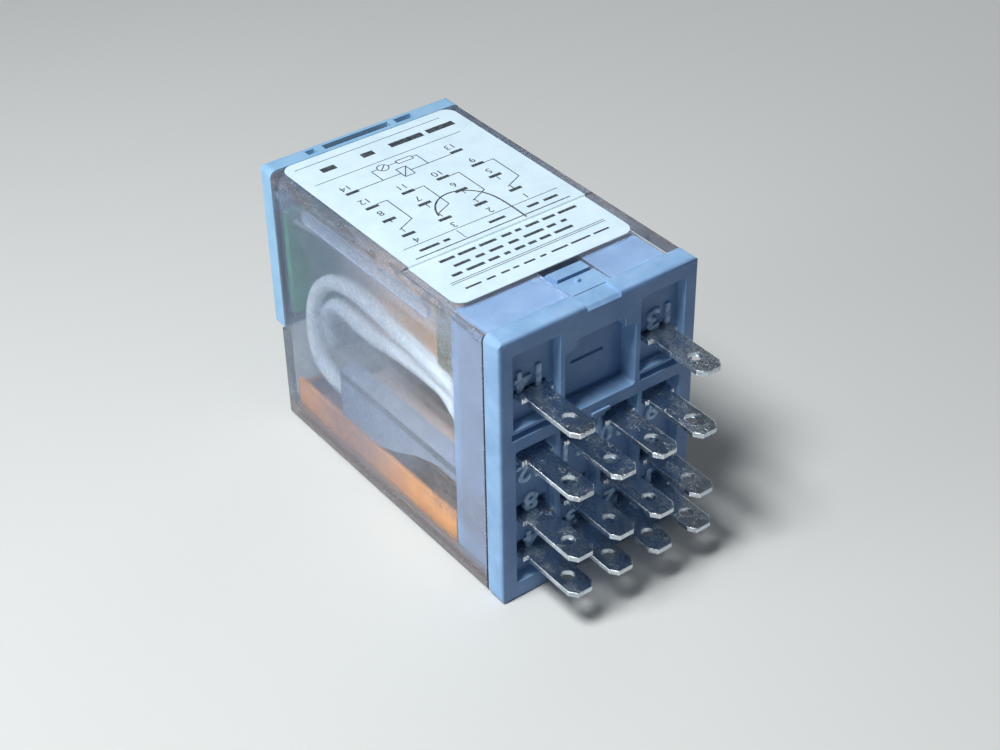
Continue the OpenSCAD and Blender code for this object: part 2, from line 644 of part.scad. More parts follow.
module terminal(n) color("silver") place() blade_place(n) {
    row = n > 12 ? 3 : floor((n - 1) / 4);
    side = n == 13 || (n < 13 && (n - 1) % 4 < 2) ? 1 : -1;
    inner = row == 2 && ((n - 1) % 4 == 1 || (n - 1) % 4 == 2);
    back = [contact_x - 1.4, contact_x - 1.2, inner ? -4.0 : -5.4, -6.6][row];
    translate([0, 0, -blade_t / 2]) linear_extrude(blade_t) terminal_outline(back);
    if (row == 0)
        translate([contact_x, 0, blade_t / 2 - 0.1]) cylinder(low_contact_h + 0.1, d = contact_d + 0.2, $fn = small);
    if (row == 1)
        translate([contact_x + contact_shift, 0, -blade_t / 2 - high_contact_h])
            cylinder(high_contact_h + 0.1, d = contact_d + 0.2, $fn = small);
    if (row == 2)
        block([back - 0.6, back + 0.1], [-0.5, 0.5], [-blade_t / 2, blade_t / 2]);
    if (row == 3) {
        tab = [for (y = tab_y) y - column_y[0]];
        mirror([0, side > 0 ? 0 : 1, 0]) {
            block([-8.4, -6.5], [0, tab[1]], [-blade_t / 2, blade_t / 2]);
            block([-11.05, -6.7], tab, [-2.4, 3.6]);
        }
    }
}

module lead(n) color("white") place() {
    column = n - 9;
    outer = column == 0 || column == 3;
    line = smooth(fitted(outer ? outer_loop : inner_loop), 3);
    if (column < 2)
        tube(line, lead_d / 2, 10, [0, 0, 1]);
    else
        mirror([0, 1, 0]) tube(line, lead_d / 2, 10, [0, 0, 1]);
}

module board_wire(side) color("red") place() {
    if (side > 0)
        tube(smooth(fitted(board_run), 3), 0.22, 8, [0, 0, 1]);
    else
        mirror([0, 1, 0]) tube(smooth(fitted(board_run), 3), 0.22, 8, [0, 0, 1]);
}

module coil_wire(side) color("sienna") place() {
    line = [for (i = [0 : len(coil_run) - 1]) let (p = coil_run[i], t = i / (len(coil_run) - 1))
        [p[0], (1 - t) * (p[1] + side_y - 9.5) + t * p[1] * winding_d / 12.4,
            (1 - t) * (p[2] - 21 + row_coil) + t * (coil_z + (p[2] - 17.93) * winding_d / 12.4)]];
    if (side > 0)
        tube(smooth(line, 4), 0.1, 8, [0, 0, 1]);
    else
        mirror([0, 1, 0]) tube(smooth(line, 4), 0.1, 8, [0, 0, 1]);
}

module coil_barrier() color("gray") place() {
    block([barrier_x, inside_x], [-side_y + 0.2, side_y - 0.2], barrier_z);
    both_sides() {
        along_y([side_y - 0.6, side_y - 0.2]) polygon([[barrier_side_x, 5], [deep(-19.5), 5], [deep(-16.5), 6.1],
            [deep(-13.5), 7.6], [-10.3, barrier_z[0] + 0.1], [-10.3, barrier_side_z], [barrier_side_x, barrier_side_z]]);
        block([barrier_side_x, inside_x], [side_y - 2.15, side_y - 0.2], [barrier_z[0], barrier_side_z]);
    }
}

module contact_tray() color("orange") place() {
    block([tray_x, inside_x], [-side_y + 0.1, side_y - 0.1], [1.3, 2.2]);
    block([tray_x, tray_x + 0.7], [-side_y + 0.1, side_y - 0.1], [2.0, 4.2]);
    both_sides() {
        block([tray_x, inside_x], [side_y - 0.55, side_y - 0.1], [2.0, 4.8]);
    }
    for (i = [-1 : 1])
        block([carrier_x[1] + 0.4, inside_x], [i * column_pitch - 0.35, i * column_pitch + 0.35], [2.0, row_on + 0.25]);
}

base();
cover();
label();
end_frame();
test_lever();
led_board();
led();
resistor();
diode();
bobbin();
winding();
core();
yoke();
pole_piece();
armature();
return_spring();
contact_carrier();
moving_spring(1);  // moving_spring_1
moving_spring(2);  // moving_spring_2
moving_spring(3);  // moving_spring_3
moving_spring(4);  // moving_spring_4
terminal(1);  // terminal_1
terminal(2);  // terminal_2
terminal(3);  // terminal_3
terminal(4);  // terminal_4
terminal(5);  // terminal_5
terminal(6);  // terminal_6
terminal(7);  // terminal_7
terminal(8);  // terminal_8
terminal(9);  // terminal_9
terminal(10);  // terminal_10
terminal(11);  // terminal_11
terminal(12);  // terminal_12
terminal(13);  // terminal_13
terminal(14);  // terminal_14
lead(9);  // lead_9
lead(10);  // lead_10
lead(11);  // lead_11
lead(12);  // lead_12
board_wire(1);  // board_wire_13
board_wire(-1);  // board_wire_14
coil_wire(1);  // coil_wire_13
coil_wire(-1);  // coil_wire_14
coil_barrier();
contact_tray();
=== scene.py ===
import bpy
import bmesh
import json
import math
import random
from mathutils import Matrix, Vector

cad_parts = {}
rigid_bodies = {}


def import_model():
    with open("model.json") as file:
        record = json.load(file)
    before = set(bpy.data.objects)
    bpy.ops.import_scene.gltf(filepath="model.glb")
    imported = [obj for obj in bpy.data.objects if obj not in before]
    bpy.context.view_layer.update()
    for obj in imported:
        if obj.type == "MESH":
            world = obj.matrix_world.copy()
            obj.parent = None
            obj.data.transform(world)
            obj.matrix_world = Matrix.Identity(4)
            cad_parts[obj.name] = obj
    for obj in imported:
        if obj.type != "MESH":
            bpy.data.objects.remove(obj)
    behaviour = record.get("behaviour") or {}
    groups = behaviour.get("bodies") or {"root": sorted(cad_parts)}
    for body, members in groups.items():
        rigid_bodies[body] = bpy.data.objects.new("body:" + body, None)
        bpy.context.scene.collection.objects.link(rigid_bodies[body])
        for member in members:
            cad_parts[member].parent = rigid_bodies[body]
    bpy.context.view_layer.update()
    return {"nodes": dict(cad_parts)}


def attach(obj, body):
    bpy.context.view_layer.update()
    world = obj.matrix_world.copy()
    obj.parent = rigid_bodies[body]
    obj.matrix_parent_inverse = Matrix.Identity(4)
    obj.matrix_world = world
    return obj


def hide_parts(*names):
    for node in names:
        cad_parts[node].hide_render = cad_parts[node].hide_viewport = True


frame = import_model()
nodes = frame["nodes"]
print("frame loaded:", len(nodes), "nodes")

mm = 0.001
rimFace = 14.6        # the rim's front face lies this far along X, in mm


def spot(x, y, z):                                      # in mm, with X counted from the rim's front face
    return Vector(((x + rimFace) * mm, y * mm, z * mm))


def camel(name):
    first, *rest = name.split("_")
    return first + "".join(word.capitalize() for word in rest)


# camera: where the photograph was taken from, with its angles in degrees and its place in mm
camera = {"azimuth": 53.599, "elevation": 36.461, "roll": -1.033, "place": (94.14, -79.68, 111.04),
          "lens": 67.16, "sensor": 36, "nearest": 0.001, "farthest": 10}


def addCamera(values):
    azimuth, elevation, roll = (math.radians(values[key]) for key in ("azimuth", "elevation", "roll"))
    level = math.cos(elevation)
    back = Vector((math.sin(azimuth) * level, -math.cos(azimuth) * level, math.sin(elevation)))
    right = (-back).cross(Vector((0, 0, 1))).normalized()
    up = right.cross(-back)
    acrossView = right * math.cos(roll) + up * math.sin(roll)
    upView = -right * math.sin(roll) + up * math.cos(roll)
    data = bpy.data.cameras.new("photoCamera")
    data.sensor_width = values["sensor"]
    data.lens = values["lens"]
    data.clip_start = values["nearest"]
    data.clip_end = values["farthest"]
    made = bpy.data.objects.new("photoCamera", data)
    turn = Matrix((acrossView, upView, back)).transposed().to_4x4()
    made.matrix_world = Matrix.Translation(spot(*values["place"])) @ turn
    bpy.context.scene.collection.objects.link(made)
    bpy.context.scene.camera = made


addCamera(camera)
bpy.context.scene.view_settings.view_transform = "Standard"


# shader building: most of these add nodes to a material's tree and return the last one's output
def wire(tree, value, socket):                          # a colour is given without its alpha
    if isinstance(value, bpy.types.NodeSocket):
        tree.links.new(value, socket)
    elif socket.type == "RGBA":
        socket.default_value = (*value, 1)
    else:
        socket.default_value = value


def put(tree, kind, values, **settings):
    made = tree.nodes.new(kind)
    for key, value in settings.items():
        setattr(made, key, value)
    for key, value in values.items():
        wire(tree, value, made.inputs[key])
    return made


def newMaterial(name, values):
    material = bpy.data.materials.new(name)
    material.use_nodes = True
    tree = material.node_tree
    shader = tree.nodes["Principled BSDF"]
    for key, value in values.items():
        wire(tree, value, shader.inputs[key])
    return material, tree, shader


def inMillimetres(tree, stretch=(1, 1, 1), turn=(0, 0, 0)):
    coords = put(tree, "ShaderNodeTexCoord", {}).outputs["Object"]
    scale = [part / mm for part in stretch]
    return put(tree, "ShaderNodeMapping", {"Vector": coords, "Scale": scale, "Rotation": turn}).outputs[0]


def axes(tree):                                         # X, Y and Z of the point in mm
    return put(tree, "ShaderNodeSeparateXYZ", {0: inMillimetres(tree)}).outputs


def cloudy(tree, coords, scale, detail=3, rough=0.55, twist=0):
    values = {"Vector": coords, "Scale": scale, "Detail": detail, "Roughness": rough, "Distortion": twist}
    return put(tree, "ShaderNodeTexNoise", values).outputs[0]


def between(tree, value, low, high, outLow=0.0, outHigh=1.0):
    values = {"Value": value, "From Min": low, "From Max": high, "To Min": outLow, "To Max": outHigh}
    return put(tree, "ShaderNodeMapRange", values, clamp=True).outputs[0]


def maths(tree, operation, first, *others):
    for other in others:
        first = put(tree, "ShaderNodeMath", {0: first, 1: other}, operation=operation).outputs[0]
    return first


def times(tree, *parts):
    return maths(tree, "MULTIPLY", *parts)


def plus(tree, *parts):
    return maths(tree, "ADD", *parts)


def minus(tree, first, second):
    return maths(tree, "SUBTRACT", first, second)


def largest(tree, *parts):
    return maths(tree, "MAXIMUM", *parts)


def unsigned(tree, value):
    return put(tree, "ShaderNodeMath", {0: value}, operation="ABSOLUTE").outputs[0]


def mixed(tree, share, under, over):
    made = put(tree, "ShaderNodeMix", {0: share}, data_type="RGBA")
    wire(tree, under, made.inputs[6])
    wire(tree, over, made.inputs[7])
    return made.outputs[2]


def bumped(tree, height, depth, strength=1.0, under=None):
    values = {"Height": height, "Distance": depth * mm, "Strength": strength}
    if under:
        values["Normal"] = under
    return put(tree, "ShaderNodeBump", values).outputs[0]


def specks(tree, coords, scale, size, share):           # dust: some cells of a fine grid hold a dot
    cells = put(tree, "ShaderNodeTexVoronoi", {"Vector": coords, "Scale": scale})
    dot = between(tree, cells.outputs["Distance"], size, size * 0.6)
    chosen = put(tree, "ShaderNodeSeparateColor", {"Color": cells.outputs["Color"]}).outputs[0]
    return times(tree, dot, between(tree, chosen, 1 - share, 1 - share + 0.02))


def scratches(tree, stretch, turn, scale, thin):
    lines = cloudy(tree, inMillimetres(tree, stretch, turn), scale, 2, 0.5, 0.3)
    return between(tree, unsigned(tree, minus(tree, lines, 0.5)), thin, 0)


def wornEdges(tree):                                    # the edge mark: wear on softened edges and a painted highlight on the numerals, 0 where nothing is marked
    return put(tree, "ShaderNodeAttribute", {}, attribute_name="worn").outputs["Fac"]


def facing(tree, axis, low, high, share=1.0):           # axis 0 is towards the blades' tips, 2 is up
    normal = put(tree, "ShaderNodeNewGeometry", {}).outputs["Normal"]
    towards = put(tree, "ShaderNodeSeparateXYZ", {0: normal}).outputs[axis]
    return between(tree, towards, low, high, 0, share)


# moulded body in matt grey-blue plastic, with painted shade darkening the faces that look towards the blades
basePlastic = {"pale": (0.28, 0.47, 0.73), "deep": (0.2, 0.36, 0.6), "roughness": 0.42, "shine": 0.4,
               # the first colour on the next line is painted shade for the faces towards the blades
               "paintedFrontShade": (0.06, 0.125, 0.3), "paintedFrontShadeShare": 0.64, "edge": (0.48, 0.66, 0.86),
               "scratch": (0.5, 0.63, 0.78), "dust": (0.6, 0.63, 0.66), "dustShare": 0.45}


def makeBasePlastic(values):
    material, tree, shader = newMaterial("basePlastic", {"Specular IOR Level": values["shine"]})
    place = inMillimetres(tree)
    patches = between(tree, cloudy(tree, place, 0.35, 4), 0.35, 0.65)
    plain = mixed(tree, patches, values["deep"], values["pale"])
    grainy = cloudy(tree, place, 9, 2)
    plain = mixed(tree, between(tree, grainy, 0.35, 0.75, 0, 0.25), plain, values["pale"])
    # painted shade: faces turned towards the blades' tips take the dark colour
    plain = mixed(tree, facing(tree, 0, 0.5, 0.9, values["paintedFrontShadeShare"]), plain, values["paintedFrontShade"])
    lines = scratches(tree, (1, 0.06, 0.6), (0.3, 0, 0.5), 3, 0.012)
    lines = times(tree, lines, between(tree, patches, 0.5, 1, 0.04, 0.24))
    plain = mixed(tree, lines, plain, values["scratch"])
    rubbed = between(tree, cloudy(tree, place, 1.5, 3), 0.35, 0.65, 0.1, 0.6)
    # the pale edge tone: wear on softened edges, and a painted highlight where the numerals are marked
    plain = mixed(tree, times(tree, wornEdges(tree), rubbed), plain, values["edge"])
    dots = between(tree, cloudy(tree, place, 0.5), 0.45, 0.65)
    dots = times(tree, dots, specks(tree, place, 4.5, 0.22, 0.3))
    settled = between(tree, cloudy(tree, place, 1.2, 5, 0.7), 0.45, 0.75, 0, 0.35)
    settled = times(tree, facing(tree, 2, 0.3, 0.9), settled)
    dust = times(tree, largest(tree, dots, settled), values["dustShare"])
    wire(tree, mixed(tree, dust, plain, values["dust"]), shader.inputs["Base Color"])
    rough = plus(tree, between(tree, grainy, 0.3, 0.7, -0.07, 0.09), values["roughness"])
    wire(tree, plus(tree, rough, times(tree, dust, 0.4)), shader.inputs["Roughness"])
    fine = bumped(tree, cloudy(tree, place, 14, 2), 0.012, 0.5)
    wire(tree, bumped(tree, dots, 0.03, 0.5, fine), shader.inputs["Normal"])
    return material


# clear cover, a little smoky, with haze, scratches and dirt on it
clearPlastic = {"tint": (0.88, 0.91, 0.94), "shade": (0.66, 0.68, 0.7), "refraction": 1.2, "roughness": 0.05,
                "haze": (0.33, 0.37, 0.46), "farHaze": (0.2, 0.25, 0.35), "hazeShare": 0.34,
                "upperShare": 0.42, "scratchShare": 0.25, "edgeShare": 0.2,
                "rubbed": (0.36, 0.37, 0.45), "rubbedShare": 0.34,
                "frosted": (0.5, 0.57, 0.7), "frostedShare": 0.6,
                "brown": (0.42, 0.34, 0.3), "brownShare": 0.4,
                "belowTrayTone": (0.29, 0.26, 0.27), "lowShare": 0.62,
                "grime": (0.1, 0.095, 0.1), "seamShare": 0.85,
                "pale": (0.68, 0.67, 0.63), "paleShare": 0.7}

# where the cover is hazy or dirty: the places in mm where each band begins and where it is full. X, Y and Z
# are the frame's own here, and a side or a rail is measured from the middle of the width
coverBands = {"farHalf": (7, -4), "farEnd": (-16, -11), "farTone": (-1, -10),
              "upperZ": (22.9, 24.2), "upperX": (8.5, 7.5),
              "skirtX": (7.6, 8.6), "skirtZ": (26.6, 26),
              "wipedX": (-7, 2), "wipedZ": (7, 5),
              "railOuter": (9.35, 9.25), "railInner": (8.9, 9),
              "railLowerZ": (21.5, 22), "railUpperZ": (25.4, 25.2),
              "smoothX": (7.4, 8.2), "belowTrayZ": (2.5, 1.9), "seamX": (12.29, 12.38),
              "dustX": (-2, 5), "dustUpperZ": (11, 9), "dustLowerZ": (4.3, 5.3),
              "topDustSide": (9.3, 9.9), "topDustZ": (25.9, 26.6),
              "lowEdgeZ": (7, 0.3), "farEdgeY": (8.4, 9.4), "farEdgeZ": (24, 26),
              "topEdgeSide": (9.6, 10.1), "topEdgeZ": (25.7, 26.7), "sparkleZ": (1.3, 0.3)}


def coverHaze(tree, values, bands, place, x, side, z):
    wipes = cloudy(tree, inMillimetres(tree, (0.5, 1, 2.2), (0, 0.5, 0)), 0.6, 4, 0.65)
    farHalf = times(tree, between(tree, x, *bands["farHalf"]), between(tree, x, *bands["farEnd"], 0.6, 1))
    clouded = between(tree, plus(tree, cloudy(tree, place, 0.22, 4, 0.6), farHalf), 0.45, 1.55)
    haze = plus(tree, times(tree, clouded, values["hazeShare"]), between(tree, wipes, 0.35, 0.75, 0, 0.08))
    upper = times(tree, between(tree, z, *bands["upperZ"], 0, values["upperShare"]),
                  between(tree, x, *bands["upperX"], 0.15, 1))      # the upper edge is rubbed dull
    haze = largest(tree, haze, times(tree, upper, between(tree, wipes, 0.3, 0.7, 0.75, 1.15)))
    wiped = times(tree, between(tree, x, *bands["wipedX"]), between(tree, z, *bands["wipedZ"], 0, 0.75))
    haze = times(tree, haze, minus(tree, 1, wiped))     # cleaner over the near part of the tray
    skirt = times(tree, between(tree, x, *bands["skirtX"], 0, values["rubbedShare"]),
                  between(tree, z, *bands["skirtZ"], 0.45, 1))      # so is the part round the base's skirt
    rail = times(tree, between(tree, side, *bands["railOuter"]), between(tree, side, *bands["railInner"]),
                 between(tree, z, *bands["railLowerZ"]), between(tree, z, *bands["railUpperZ"]))
    haze = largest(tree, haze, skirt, times(tree, rail, values["frostedShare"]))
    grain = cloudy(tree, inMillimetres(tree, (1.3, 1, 0.6)), 4, 4, 0.8)
    grain = between(tree, grain, 0.35, 0.65, -1, 1)
    grain = times(tree, grain, between(tree, x, *bands["smoothX"], 0.3, 0.04))
    haze = times(tree, haze, plus(tree, 1, grain))
    lines = largest(tree, scratches(tree, (0.12, 1, 1), (0, 0.4, 0.1), 2.2, 0.008),
                    scratches(tree, (1, 1, 0.1), (0, 0.2, 0), 2.6, 0.006))
    haze = largest(tree, haze, times(tree, lines, values["scratchShare"]),
                   times(tree, wornEdges(tree), values["edgeShare"]))
    return haze, wipes, clouded, skirt, rail


def coverDirt(tree, values, bands, place, x, y, side, z):
    dust = times(tree, between(tree, z, *bands["dustUpperZ"]), between(tree, z, *bands["dustLowerZ"]),
                 between(tree, x, *bands["dustX"]))
    topDust = times(tree, between(tree, side, *bands["topDustSide"]), between(tree, z, *bands["topDustZ"]))
    uneven = between(tree, cloudy(tree, place, 1.1, 5, 0.75), 0.35, 0.7, 0, values["brownShare"])
    brown = times(tree, largest(tree, dust, topDust), uneven)
    lowEdge = largest(tree, between(tree, z, *bands["lowEdgeZ"]), times(tree, dust, 0.85))
    farEdge = times(tree, between(tree, y, *bands["farEdgeY"]), between(tree, z, *bands["farEdgeZ"]))
    gathered = plus(tree, largest(tree, lowEdge, farEdge), cloudy(tree, place, 3.2, 5, 0.85))
    grit = times(tree, between(tree, cloudy(tree, place, 7, 3, 0.9), 0.5, 0.62),
                 between(tree, gathered, 1.02, 1.5, 0, 0.85))
    streaks = cloudy(tree, inMillimetres(tree, (0.25, 1, 1)), 1.6, 4, 0.7)
    topEdge = times(tree, between(tree, side, *bands["topEdgeSide"]), between(tree, z, *bands["topEdgeZ"]),
                    between(tree, streaks, 0.42, 0.6, 0, 0.75))
    grit = largest(tree, grit, topEdge)
    sparkle = times(tree, specks(tree, place, 4.5, 0.3, 0.5), between(tree, z, *bands["sparkleZ"], 0, 0.8))
    loose = largest(tree, times(tree, specks(tree, place, 1.9, 0.1, 0.3), values["paleShare"]), sparkle)
    return brown, grit, loose


def makeClearPlastic(values, bands):
    glassy = {"Transmission Weight": 1.0, "IOR": values["refraction"], "Base Color": values["tint"]}
    material, tree, shader = newMaterial("clearPlastic", glassy)
    place = inMillimetres(tree)
    x, y, z = axes(tree)
    side = unsigned(tree, y)
    haze, wipes, clouded, skirt, rail = coverHaze(tree, values, bands, place, x, side, z)
    brown, grit, loose = coverDirt(tree, values, bands, place, x, y, side, z)
    # the cover is darker towards the bottom, below the tray
    belowTray = between(tree, z, *bands["belowTrayZ"], 0, values["lowShare"])
    seam = between(tree, x, *bands["seamX"], 0, values["seamShare"])      # dirt in the joint with the rim
    marks = largest(tree, haze, brown, grit, loose, seam, belowTray)
    tone = mixed(tree, between(tree, x, *bands["farTone"]), values["haze"], values["farHaze"])
    tone = mixed(tree, between(tree, skirt, 0, values["rubbedShare"]), tone, values["rubbed"])
    tone = mixed(tree, rail, tone, values["frosted"])
    tone = mixed(tree, between(tree, brown, 0.05, values["brownShare"]), tone, values["brown"])
    tone = mixed(tree, between(tree, belowTray, 0, values["lowShare"]), tone, values["belowTrayTone"])
    tone = mixed(tree, largest(tree, grit, seam), tone, values["grime"])
    tone = mixed(tree, largest(tree, loose, specks(tree, place, 5, 0.3, 0.3)), tone, values["pale"])
    rough = plus(tree, between(tree, wipes, 0.3, 0.75, -0.03, 0.08), values["roughness"])
    wire(tree, plus(tree, rough, times(tree, clouded, 0.12)), shader.inputs["Roughness"])
    wire(tree, bumped(tree, wipes, 0.02, 0.4), shader.inputs["Normal"])
    veil = put(tree, "ShaderNodeBsdfDiffuse", {"Color": tone, "Roughness": 0.5}).outputs[0]
    dirty = put(tree, "ShaderNodeMixShader", {0: marks, 1: shader.outputs[0], 2: veil}).outputs[0]
    passed = put(tree, "ShaderNodeBsdfTransparent", {"Color": values["shade"]}).outputs[0]
    shadowRay = put(tree, "ShaderNodeLightPath", {}).outputs["Is Shadow Ray"]    # light gets in, dimmed
    whole = put(tree, "ShaderNodeMixShader", {0: shadowRay, 1: dirty, 2: passed}).outputs[0]
    tree.links.new(whole, tree.nodes["Material Output"].inputs["Surface"])
    return material


# tin-plated blades: scratched, crusted in patches, and tarnished on the ends inside
tinPlate = {"bright": (0.62, 0.68, 0.74), "dull": (0.46, 0.52, 0.58), "rubbed": (0.95, 0.97, 0.98),
            "dark": (0.1, 0.12, 0.15), "roughness": 0.2, "metal": 1.0, "tarnish": (0.42, 0.36, 0.2),
            "tarnishX": (9, 8), "crust": (0.32, 0.36, 0.39), "crustShare": 0.55, "crustMetal": 0.4,
            "crustedY": (4, 5), "crustedZ": (18, 19), "moreCrust": 0.1}


def makeTinPlate(values):
    material, tree, shader = newMaterial("tinPlate", {})
    place = inMillimetres(tree)
    x, y, z = axes(tree)
    patches = between(tree, cloudy(tree, place, 0.8, 5, 0.7), 0.36, 0.66)
    plain = mixed(tree, patches, values["dull"], values["bright"])
    fine = cloudy(tree, inMillimetres(tree, (0.25, 1, 1), (0, 0, 0.2)), 7, 3, 0.8)
    plain = mixed(tree, between(tree, fine, 0.55, 0.7, 0, 0.5), plain, values["rubbed"])
    plain = mixed(tree, between(tree, fine, 0.44, 0.3, 0, 0.5), plain, values["dark"])
    blotches = between(tree, cloudy(tree, place, 1.3, 3), 0.4, 0.55, 0.2, 0.9)
    tarnish = times(tree, between(tree, x, *values["tarnishX"]), blotches)
    plain = mixed(tree, tarnish, plain, values["tarnish"])
    edge = times(tree, wornEdges(tree), between(tree, cloudy(tree, place, 2, 3), 0.3, 0.6, 0.4, 1))
    plain = mixed(tree, edge, plain, values["rubbed"])
    most = times(tree, between(tree, y, *values["crustedY"]), between(tree, z, *values["crustedZ"]))
    heaps = plus(tree, cloudy(tree, place, 0.45, 3, 0.6), times(tree, most, values["moreCrust"]))
    grains = between(tree, cloudy(tree, place, 6.5, 2, 0.8), 0.55, 0.62)
    raised = times(tree, grains, between(tree, heaps, 0.5, 0.64))
    crust = times(tree, raised, values["crustShare"])
    wire(tree, mixed(tree, crust, plain, values["crust"]), shader.inputs["Base Color"])
    metal = between(tree, crust, 0.1, 0.8, values["metal"], values["crustMetal"])
    wire(tree, metal, shader.inputs["Metallic"])
    rough = plus(tree, between(tree, patches, 0, 1, 0.12, -0.04), values["roughness"],
                 between(tree, fine, 0.5, 0.3, 0, 0.12), times(tree, crust, 0.25))
    wire(tree, rough, shader.inputs["Roughness"])
    dents = bumped(tree, cloudy(tree, place, 1.6, 3, 0.5), 0.03, 0.4)
    dents = bumped(tree, fine, 0.006, 0.5, dents)
    wire(tree, bumped(tree, raised, 0.05, 0.8, dents), shader.inputs["Normal"])
    return material


# mouldings, films and sleeves differ in colour, gloss and grain. Two have patches of painted light: the
# barrier has a painted shadow line and a painted warm reflection of the winding, and the tray has painted
# shade inside.
# A patch is its colour, then the places in mm where it begins and is full: by the distance from the middle
# of the width, by height at its lower end, and by height at its upper end
mouldings = {
    "frame_plastic": {"pale": (0.3, 0.51, 0.73), "deep": (0.25, 0.46, 0.69), "roughness": 0.42, "grain": 6,
                      "bump": 0.015},
    "lever_plastic": {"pale": (0.03, 0.07, 0.17), "deep": (0.015, 0.04, 0.11), "roughness": 0.4, "grain": 5,
                      "bump": 0.015},
    "label_film": {"pale": (0.71, 0.86, 0.95), "deep": (0.65, 0.8, 0.9), "roughness": 0.42, "grain": 1.5,
                   "bump": 0.01},
    "board_laminate": {"pale": (0.04, 0.33, 0.15), "deep": (0.02, 0.22, 0.1), "roughness": 0.3, "grain": 3,
                       "bump": 0.02},
    "led_resin": {"pale": (0.5, 0.85, 0.35), "deep": (0.35, 0.7, 0.25), "roughness": 0.15, "grain": 4,
                  "bump": 0.005},
    "diode_body": {"pale": (0.62, 0.2, 0.06), "deep": (0.4, 0.1, 0.03), "roughness": 0.2, "grain": 3,
                   "bump": 0.01},
    "bobbin_plastic": {"pale": (0.36, 0.35, 0.31), "deep": (0.26, 0.25, 0.22), "roughness": 0.5, "grain": 5,
                       "bump": 0.02},
    "lead_sleeve": {"pale": (0.9, 0.93, 0.96), "deep": (0.8, 0.84, 0.89), "roughness": 0.45, "grain": 2,
                    "bump": 0.03},
    "wire_sleeve": {"pale": (0.4, 0.42, 0.46), "deep": (0.28, 0.3, 0.34), "roughness": 0.35, "grain": 4,
                    "bump": 0.01},
    "barrier_plastic": {"pale": (0.4, 0.45, 0.56), "deep": (0.32, 0.36, 0.46), "roughness": 0.5, "grain": 5,
                        "bump": 0.02,
                        # painted shadow: a dark band along the upper edge of the barrier's side, under the
                        # winding
                        "paintedLightPatches": (((0.05, 0.05, 0.06), (9.15, 9.25), (9.2, 9.5), (10.25, 10.1)),
                                   # painted reflection: a warm tint of the winding's light on the barrier's
                                   # top, under the winding
                                   ((0.95, 0.66, 0.5), (7.6, 7), (8, 8.4), (9.6, 9.5)))},
    "tray_plastic": {"pale": (0.97, 0.4, 0.1), "deep": (0.86, 0.31, 0.06), "roughness": 0.45, "grain": 5,
                     "bump": 0.02,
                     # painted shade: the tray is darkened inside its side walls, below the barrier
                     "paintedLightPatches": (((0.06, 0.04, 0.035), (9.05, 8.85), (0, 0.1), (9, 8)),)},
}
mouldingDust = {"tone": (0.55, 0.54, 0.5), "share": 0.5}


def makeMoulding(name, values, dust):
    material, tree, shader = newMaterial(name, {})
    place = inMillimetres(tree)
    patches = between(tree, cloudy(tree, place, 0.5, 4), 0.35, 0.65)
    plain = mixed(tree, patches, values["deep"], values["pale"])
    # each painted patch of shade and reflected light is mixed over the plain colour
    for tone, across, lower, upper in values.get("paintedLightPatches", ()):
        y, z = axes(tree)[1:]
        paintedPatch = times(tree, between(tree, unsigned(tree, y), *across),
                      between(tree, z, *lower), between(tree, z, *upper),
                      between(tree, cloudy(tree, place, 0.9, 4, 0.7), 0.3, 0.55, 0.5, 0.9),
                      between(tree, cloudy(tree, place, 5, 3, 0.8), 0.38, 0.56, 0.4, 1))
        plain = mixed(tree, paintedPatch, plain, tone)
    dots = times(tree, specks(tree, place, 3.5, 0.18, 0.25), facing(tree, 2, 0.2, 0.7), dust["share"])
    wire(tree, mixed(tree, dots, plain, dust["tone"]), shader.inputs["Base Color"])
    fine = cloudy(tree, place, values["grain"], 3)
    rough = plus(tree, between(tree, fine, 0.3, 0.7, -0.06, 0.1), values["roughness"])
    wire(tree, rough, shader.inputs["Roughness"])
    wire(tree, bumped(tree, fine, values["bump"], 0.6), shader.inputs["Normal"])
    return material


# tape wound round the coil, which turns darker towards the far end
coilTape = {"pale": (1.0, 0.74, 0.55), "deep": (0.95, 0.6, 0.4), "seam": (0.62, 0.34, 0.2), "turn": 1.3,
            "aged": (0.14, 0.125, 0.12), "farDarkShare": 0.8, "agedX": (-7.5, -11), "roughness": 0.34}


def makeCoilTape(values):
    material, tree, shader = newMaterial("coilTape", {})
    place = inMillimetres(tree)
    patches = between(tree, cloudy(tree, inMillimetres(tree, (2.2, 0.5, 0.5)), 0.6, 3), 0.35, 0.7)
    plain = mixed(tree, patches, values["deep"], values["pale"])
    scale = 0.31 / values["turn"]                       # at scale 1 the wave repeats every 0.31 mm
    wave = {"Vector": inMillimetres(tree, (1, 0.12, 0.05)), "Scale": scale, "Distortion": 0.4}
    turns = put(tree, "ShaderNodeTexWave", wave, wave_profile="SAW").outputs["Fac"]
    plain = mixed(tree, between(tree, turns, 0.93, 1, 0, 0.8), plain, values["seam"])
    # darker towards the far end of the coil
    aged = between(tree, axes(tree)[0], *values["agedX"], 0, values["farDarkShare"])
    wire(tree, mixed(tree, aged, plain, values["aged"]), shader.inputs["Base Color"])
    creases = plus(tree, cloudy(tree, inMillimetres(tree, (1, 0.25, 0.25)), 1.6, 4, 0.6), turns)
    rough = between(tree, creases, 0.3, 0.7, values["roughness"] - 0.1, values["roughness"] + 0.12)
    wire(tree, rough, shader.inputs["Roughness"])
    creases = plus(tree, creases, cloudy(tree, place, 8))
    wire(tree, bumped(tree, creases, 0.04, 0.5), shader.inputs["Normal"])
    return material


